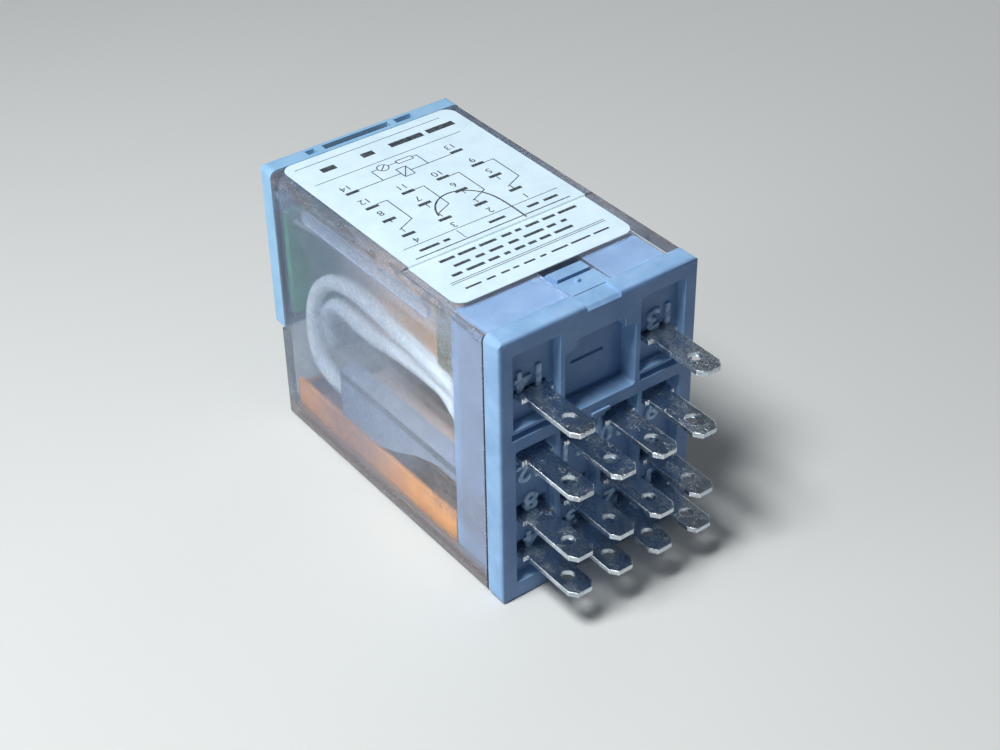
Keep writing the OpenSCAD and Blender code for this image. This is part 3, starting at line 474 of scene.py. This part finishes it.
# metals inside: iron, spring steel, bronze leaves and enamelled wire, brushed along the stretched axis
metals = {
    "iron": {"pale": (0.55, 0.55, 0.53), "deep": (0.4, 0.4, 0.39), "roughness": 0.36,
             "stretch": (0.2, 1, 1)},
    "spring_steel": {"pale": (0.5, 0.5, 0.5), "deep": (0.34, 0.34, 0.35), "roughness": 0.25,
                     "stretch": (1, 1, 0.3)},
    "leaf_bronze": {"pale": (0.82, 0.6, 0.36), "deep": (0.62, 0.4, 0.2), "roughness": 0.28,
                    "stretch": (0.15, 1, 1)},
    "enamelled_wire": {"pale": (0.6, 0.26, 0.12), "deep": (0.4, 0.14, 0.06), "roughness": 0.25,
                       "stretch": (0.3, 1, 1)},
}


def makeMetal(name, values):
    material, tree, shader = newMaterial(name, {"Metallic": 1.0})
    brushed = cloudy(tree, inMillimetres(tree, values["stretch"]), 6, 3, 0.6)
    patches = between(tree, cloudy(tree, inMillimetres(tree), 0.6, 4), 0.35, 0.7)
    plain = mixed(tree, patches, values["deep"], values["pale"])
    plain = mixed(tree, between(tree, brushed, 0.3, 0.7, 0, 0.35), plain, values["pale"])
    wire(tree, plain, shader.inputs["Base Color"])
    rough = between(tree, brushed, 0.3, 0.7, values["roughness"] - 0.08, values["roughness"] + 0.12)
    wire(tree, rough, shader.inputs["Roughness"])
    wire(tree, bumped(tree, brushed, 0.01, 0.6), shader.inputs["Normal"])
    return material


# resistor: lacquered body with rings of colour across its length, each given by its place and its colour
resistorBody = {"body": (0.62, 0.46, 0.28), "paler": (0.7, 0.55, 0.36), "coat": 0.3, "middle": 0.6,
                "bands": ((-1.7, (0.3, 0.12, 0.04)), (-0.9, (0.02, 0.02, 0.02)),
                          (-0.1, (0.55, 0.2, 0.03)), (1.6, (0.5, 0.38, 0.1))),
                "bandWidth": 0.45, "legs": (0.6, 0.6, 0.6), "legsFrom": (2.69, 2.72)}


def makeResistorBody(values):
    material, tree, shader = newMaterial("resistorBody", {"Coat Weight": values["coat"]})
    place = inMillimetres(tree)
    y = axes(tree)[1]
    half = values["bandWidth"] / 2
    painted = mixed(tree, between(tree, cloudy(tree, place, 2), 0.3, 0.7), values["body"], values["paler"])
    for offset, tone in values["bands"]:
        away = unsigned(tree, minus(tree, y, values["middle"] + offset))
        painted = mixed(tree, between(tree, away, half, half - 0.04), painted, tone)
    legs = between(tree, unsigned(tree, minus(tree, y, values["middle"])), *values["legsFrom"])
    wire(tree, mixed(tree, legs, painted, values["legs"]), shader.inputs["Base Color"])
    wire(tree, legs, shader.inputs["Metallic"])
    wire(tree, between(tree, cloudy(tree, place, 5), 0.3, 0.7, 0.2, 0.4), shader.inputs["Roughness"])
    return material


# ink of the label's print, worn in places
labelInk = {"ink": (0.035, 0.04, 0.05), "worn": (0.13, 0.15, 0.17), "roughness": 0.4, "wornRoughness": 0.6}


def makeInk(values):
    material, tree, shader = newMaterial("labelInk", {})
    worn = between(tree, cloudy(tree, inMillimetres(tree), 3, 4, 0.7), 0.4, 0.75)
    wire(tree, mixed(tree, worn, values["ink"], values["worn"]), shader.inputs["Base Color"])
    rough = between(tree, worn, 0, 1, values["roughness"], values["wornRoughness"])
    wire(tree, rough, shader.inputs["Roughness"])
    return material


# finishes by the name of the slot that each goes into
finishes = {"base_plastic": makeBasePlastic(basePlastic),
            "clear_plastic": makeClearPlastic(clearPlastic, coverBands),
            "tin_plate": makeTinPlate(tinPlate), "coil_tape": makeCoilTape(coilTape),
            "resistor_body": makeResistorBody(resistorBody)}
for slotName, values in mouldings.items():
    finishes[slotName] = makeMoulding(camel(slotName), values, mouldingDust)
for slotName, values in metals.items():
    finishes[slotName] = makeMetal(camel(slotName), values)
ink = makeInk(labelInk)
print("finishes made:", len(finishes) + 1)


# every solid is replaced by a copy of its form with softened edges
def addPiece(name, shape, material, body, smooth=None):
    data = bpy.data.meshes.new(name)
    shape.to_mesh(data)
    shape.free()
    data.materials.append(material)
    made = bpy.data.objects.new(name, data)
    bpy.context.scene.collection.objects.link(made)
    if smooth:
        data.shade_smooth()
        data.set_sharp_from_angle(angle=math.radians(smooth))
        evened = made.modifiers.new("evenNormals", "WEIGHTED_NORMAL")
        evened.keep_sharp = True
    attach(made, body)
    return made


def markWorn(shape, faces, amount):                     # writes the edge mark: wear on softened edges, and a painted highlight on the numerals
    worn = shape.loops.layers.float_color.get("worn") or shape.loops.layers.float_color.new("worn")
    for face in faces:
        for corner in face.loops:
            corner[worn] = (amount, amount, amount, 1)


def bodyOf(name):
    above = nodes[name].parent
    return above.name.split(":")[-1] if above else "housing"


# merge is the distance in mm at which points become one. The angles are in degrees: faces that meet below
# flat become one, edges above sharp are softened, and shading is smooth below smooth
softening = {"merge": 0.0005, "flat": 1, "sharp": 35, "segments": 2, "smooth": 30}


def softened(name, slotName, edge, lowered=0):
    shape = bmesh.new()
    shape.from_mesh(nodes[name].data)
    shape.transform(nodes[name].matrix_world)
    bmesh.ops.remove_doubles(shape, verts=shape.verts, dist=softening["merge"] * mm)
    flat = math.radians(softening["flat"])
    bmesh.ops.dissolve_limit(shape, angle_limit=flat, verts=shape.verts, edges=shape.edges)
    if lowered:                                         # the upper face leaves room for what lies on it
        shape.normal_update()
        for vert in {vert for face in shape.faces if face.normal.z > 0.9 for vert in face.verts}:
            vert.co.z -= lowered * mm
    if edge:
        sharp = math.radians(softening["sharp"])
        hard = [e for e in shape.edges if len(e.link_faces) == 2 and e.calc_face_angle(0) > sharp]
        rounded = bmesh.ops.bevel(shape, geom=hard, offset=edge * mm, offset_type="OFFSET",
                                  segments=softening["segments"], profile=0.5, affect="EDGES",
                                  clamp_overlap=True, material=-1)
        markWorn(shape, shape.faces, 0)
        markWorn(shape, rounded["faces"], 1)
    made = addPiece(camel(name), shape, finishes[slotName], bodyOf(name), softening["smooth"])
    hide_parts(name)


# each solid's slot, the width of its softened edges in mm, and how far its upper face is lowered
solids = {"base": ("base_plastic", 0.07), "cover": ("clear_plastic", 0.05),
          "end_frame": ("frame_plastic", 0.06), "label": ("label_film", 0, 0.04),
          "test_lever": ("lever_plastic", 0.05), "led_board": ("board_laminate", 0.03),
          "led": ("led_resin", 0.05), "resistor": ("resistor_body", 0.1), "diode": ("diode_body", 0.1),
          "bobbin": ("bobbin_plastic", 0.06), "winding": ("coil_tape", 0.1), "core": ("iron", 0.1),
          "yoke": ("iron", 0.08), "pole_piece": ("iron", 0.08), "armature": ("iron", 0.06),
          "return_spring": ("spring_steel", 0), "contact_carrier": ("bobbin_plastic", 0.05),
          "coil_barrier": ("barrier_plastic", 0.06), "contact_tray": ("tray_plastic", 0.06)}
for number in range(1, 15):
    solids["terminal_%d" % number] = ("tin_plate", 0.06)
for number in range(1, 5):
    solids["moving_spring_%d" % number] = ("leaf_bronze", 0.03)
for number in range(9, 13):
    solids["lead_%d" % number] = ("lead_sleeve", 0)
for number in (13, 14):
    solids["board_wire_%d" % number] = ("wire_sleeve", 0)
    solids["coil_wire_%d" % number] = ("enamelled_wire", 0)
for name, (slotName, *sizes) in solids.items():
    softened(name, slotName, *sizes)
print("solids dressed:", len(solids))


# print on the label: circuit diagram with terminal numbers, rules, and rows of plain dashes. Places are X
# and Y in mm, with X counted from the rim. A rule or a row is its X, the Y of its two ends, and its width
labelPrint = {"lift": 0.004, "topZ": 27.36, "stepX": -13.6, "stepDown": 0.22,
              "bars": {13: (-26.55, 4.87), 14: (-26.3, -6.5),
                       9: (-23.5, 5.0), 10: (-23.5, 1.2), 11: (-23.4, -2.6), 12: (-23.2, -6.5),
                       5: (-20.95, 5.05), 6: (-20.8, 1.2), 7: (-20.9, -2.6), 8: (-20.6, -6.5),
                       1: (-18.0, 5.05), 2: (-17.9, 1.2), 3: (-17.8, -2.65), 4: (-17.7, -6.5)},
              "barLength": 1.3, "barWidth": 0.4, "numberSize": 1.15, "numberX": (-16.6, -21.95, -24.45),
              "coilNumbers": {13: (-27.6, 4.85), 14: (-27.3, -6.6)},
              "rules": ((-32.6, 7.3, -8.5, 0.08), (-29.3, 7.3, -8.5, 0.08), (-15.9, 8.0, -8.3, 0.08),
                        (-14.1, 8.0, -8.3, 0.13), (-9.65, 8.1, -8.0, 0.08), (-9.4, 8.1, -8.0, 0.08)),
              "dividers": (3.0, -3.0), "dividerEnds": (-15.7, -14.3), "dividerWidth": 0.08,
              "heading": ((6.3, 3.0), (2.5, 3.6), (-1.7, 1.3), (-5.9, 1.5)),
              "headingX": -31.1, "headingWidth": 0.75,
              "rows": ((-14.95, 7.3, 4.0, 0.34), (-14.95, 1.6, -0.9, 0.34), (-14.95, -4.2, -7.3, 0.34),
                       (-12.8, 7.6, -7.8, 0.36), (-11.6, 5.6, -7.4, 0.36), (-10.5, 5.4, -7.2, 0.36),
                       (-8.35, 7.6, -7.4, 0.24)),
              "dash": (0.6, 2.1), "gap": (0.35, 0.6)}

# lines of the diagram: the coil with its resistor and lamp, and the changeover contact of each column, with
# Y counted from the column's
diagram = {
    "coil": (((-26.4, 4.2), (-26.4, -0.23)),
             ((-26.4, -1.28), (-26.4, -5.85)),
             ((-27.25, -0.23), (-25.7, -0.23), (-25.7, -1.28), (-27.25, -1.28), (-27.25, -0.23)),
             ((-27.25, -0.23), (-25.7, -1.28)),
             ((-26.4, 1.65), (-28.25, 1.65), (-28.25, 1.15)),
             ((-28.25, -0.5), (-28.25, -1.45)),
             ((-28.25, -2.55), (-28.25, -3.2), (-26.4, -3.2)),
             ((-28.5, 1.15), (-27.95, 1.15), (-27.95, -0.5), (-28.5, -0.5), (-28.5, 1.15)),
             ((-28.6, -1.6), (-27.85, -2.4))),
    "lamp": (-28.22, -2.0), "lampRadius": 0.55, "lampSides": 20,
    "columns": (5.0, 1.2, -2.6, -6.5),
    "contact": (((-23.4, 0.65), (-23.4, 1.65), (-19.6, 1.65), (-18.75, -0.2)),
                ((-20.7, 0), (-20.1, 0)),
                ((-18.85, 0), (-18.2, 0))),
    "line": 0.1,
}


def labelHeight(x):
    down = labelPrint["stepDown"] if x > labelPrint["stepX"] else 0
    return labelPrint["topZ"] - down + labelPrint["lift"]


def inkPatch(shape, start, end, width):                 # a flat bar from start to end on the label
    a = spot(*start, labelHeight(start[0]))
    b = spot(*end, labelHeight(start[0]))
    along = (b - a).normalized()
    across = Vector((0, 0, 1)).cross(along)
    turn = Matrix((along, across, Vector((0, 0, 1)))).transposed().to_4x4()
    size = Matrix.Diagonal(((b - a).length / 2, width * mm / 2, 1, 1))
    place = Matrix.Translation((a + b) / 2) @ turn @ size
    bmesh.ops.create_grid(shape, x_segments=1, y_segments=1, size=1, matrix=place)


def inkTrace(shape, points, width):
    for start, end in zip(points, points[1:]):
        inkPatch(shape, start, end, width)


def inkDiagram(shape, values):
    width = values["line"]
    for column in values["columns"]:
        for points in values["contact"]:
            inkTrace(shape, [(x, column + y) for x, y in points], width)
    for points in values["coil"]:
        inkTrace(shape, points, width)
    x, y = values["lamp"]
    radius = values["lampRadius"]
    angles = [2 * math.pi * side / values["lampSides"] for side in range(values["lampSides"] + 1)]
    ring = [(x + radius * math.cos(angle), y + radius * math.sin(angle)) for angle in angles]
    inkTrace(shape, ring, width)


def addNumber(shape, text, size, place, sideways, upwards, extrude=0, bold=0, stretch=1):
    curve = bpy.data.curves.new("number", "FONT")
    curve.body = text
    curve.size = size * mm
    curve.align_x = "CENTER"
    curve.align_y = "CENTER"
    curve.extrude = extrude * mm
    curve.bevel_depth = bold * mm
    holder = bpy.data.objects.new("number", curve)
    made = bpy.data.meshes.new_from_object(holder)
    sideways, upwards = Vector(sideways), Vector(upwards)
    turn = Matrix((sideways, upwards, sideways.cross(upwards))).transposed().to_4x4()
    made.transform(Matrix.Translation(place) @ turn @ Matrix.Diagonal((stretch, 1, 1, 1)))
    shape.from_mesh(made)
    bpy.data.objects.remove(holder)
    bpy.data.curves.remove(curve)
    bpy.data.meshes.remove(made)


def addLabelPrint(values):
    shape = bmesh.new()
    numbers = dict(values["coilNumbers"])
    reach = values["barLength"] / 2
    for number, (x, y) in values["bars"].items():
        inkPatch(shape, (x, y - reach), (x, y + reach), values["barWidth"])
        if number not in numbers:
            numbers[number] = (values["numberX"][(number - 1) // 4], y)
    for number, (x, y) in numbers.items():
        place = spot(x, y, labelHeight(x))
        addNumber(shape, str(number), values["numberSize"], place, (0, -1, 0), (1, 0, 0))
    inkDiagram(shape, diagram)
    for x, high, low, width in values["rules"]:
        inkPatch(shape, (x, high), (x, low), width)
    near, far = values["dividerEnds"]
    for y in values["dividers"]:
        inkPatch(shape, (near, y), (far, y), values["dividerWidth"])
    x = values["headingX"]
    for y, length in values["heading"]:
        inkPatch(shape, (x, y + length / 2), (x, y - length / 2), values["headingWidth"])
    chance = random.Random(5)
    for x, y, low, width in values["rows"]:
        while y > low + values["dash"][0]:
            length = min(chance.uniform(*values["dash"]), y - low)
            inkPatch(shape, (x, y), (x, y - length), width)
            y -= length + chance.uniform(*values["gap"])
    addPiece("labelPrint", shape, ink, "housing")


addLabelPrint(labelPrint)


# a hair that has stuck to the label and is sunk a little way into it
labelHair = {"points": ((-13.75, 3.0), (-16, 3.05), (-18.25, 3.0), (-19.75, 2.3), (-20.75, 1.3),
                        (-21.2, -0.1), (-20.75, -1.6), (-19.5, -2.6), (-18.5, -2.8)),
             "radius": 0.12, "sunk": 0.084}


def addHair(values):
    curve = bpy.data.curves.new("hair", "CURVE")
    curve.dimensions = "3D"
    curve.bevel_depth = values["radius"] * mm
    curve.bevel_resolution = 2
    line = curve.splines.new("NURBS")
    line.points.add(len(values["points"]) - 1)
    line.use_endpoint_u = True
    line.order_u = 4
    for point, (x, y) in zip(line.points, values["points"]):
        point.co = (*spot(x, y, labelHeight(x) - values["sunk"]), 1)
    holder = bpy.data.objects.new("hair", curve)
    shape = bmesh.new()
    shape.from_mesh(bpy.data.meshes.new_from_object(holder))
    bpy.data.objects.remove(holder)
    addPiece("labelHair", shape, ink, "housing")


addHair(labelHair)


# raised numerals on the floor of the pockets, given the pale edge tone all over as a painted highlight
baseNumbers = {"coilSize": 2.75, "size": 2.5, "floorX": -1.0, "raise": 0.16, "bold": 0.085, "stretch": 1.18,
               "coilPlaces": {14: (-6.6, 22.3), 13: (7.1, 22.4)}, "rowHeights": (5.3, 9.4, 12.75),
               # worn above 1 gives every face of the numerals the pale edge tone, a painted highlight
               "firstColumn": 6.55, "pitch": 4.4, "worn": 1.9}


def addBaseNumbers(values):
    shape = bmesh.new()
    places = dict(values["coilPlaces"])
    for row, z in enumerate(values["rowHeights"]):
        for column in range(4):
            places[row * 4 + column + 1] = (values["firstColumn"] - values["pitch"] * column, z)
    for number, (y, z) in places.items():
        size = values["coilSize"] if number in values["coilPlaces"] else values["size"]
        addNumber(shape, str(number), size, spot(values["floorX"], y, z), (0, -1, 0), (0, 0, -1),
                  values["raise"], values["bold"], values["stretch"])
    # painted highlight: all faces of the numerals are marked for the pale edge tone
    markWorn(shape, shape.faces, values["worn"])
    addPiece("baseNumbers", shape, finishes["base_plastic"], "housing")


addBaseNumbers(baseNumbers)
print("print and numerals laid")


# floor and light, with the lamps' places and sizes in mm
studio = {"floor": (0.7, 0.695, 0.68), "mottle": (0.7, 0.69, 0.66), "floorRoughness": 0.8, "floorSize": 1500,
          "world": (0.07, 0.078, 0.088), "aim": (-15, 0, 12)}
lamps = {"key": {"place": (24, -105, 235), "size": 80, "power": 0.64, "colour": (0.95, 0.99, 1.0)},
         "fill": {"place": (-60, -255, 60), "size": 160, "power": 0.28, "colour": (0.93, 0.98, 1.0)},
         "back": {"place": (-130, 250, 75), "size": 160, "power": 0.12, "colour": (0.93, 0.98, 1.0)}}


def addFloor(values):
    material, tree, shader = newMaterial("floorPaper", {"Roughness": values["floorRoughness"]})
    mottled = between(tree, cloudy(tree, inMillimetres(tree), 0.05, 4), 0.3, 0.7, 0, 0.06)
    wire(tree, mixed(tree, mottled, values["floor"], values["mottle"]), shader.inputs["Base Color"])
    shape = bmesh.new()
    bmesh.ops.create_grid(shape, x_segments=1, y_segments=1, size=values["floorSize"] * mm)
    data = bpy.data.meshes.new("floor")
    shape.to_mesh(data)
    shape.free()
    data.materials.append(material)
    floor = bpy.data.objects.new("floor", data)
    bpy.context.scene.collection.objects.link(floor)


def addLamp(name, values, aim):
    data = bpy.data.lights.new(name + "Lamp", "AREA")
    data.shape = "DISK"
    data.size = values["size"] * mm
    data.energy = values["power"]
    data.color = values["colour"]
    made = bpy.data.objects.new(name + "Lamp", data)
    made.location = Vector(values["place"]) * mm
    made.rotation_euler = (aim - made.location).to_track_quat("-Z", "Y").to_euler()
    bpy.context.scene.collection.objects.link(made)


def addStudio(values, lamps):
    addFloor(values)
    world = bpy.data.worlds.new("studio")
    world.use_nodes = True
    wire(world.node_tree, values["world"], world.node_tree.nodes["Background"].inputs["Color"])
    bpy.context.scene.world = world
    for name, lamp in lamps.items():
        addLamp(name, lamp, spot(*values["aim"]))


addStudio(studio, lamps)
print("studio set")
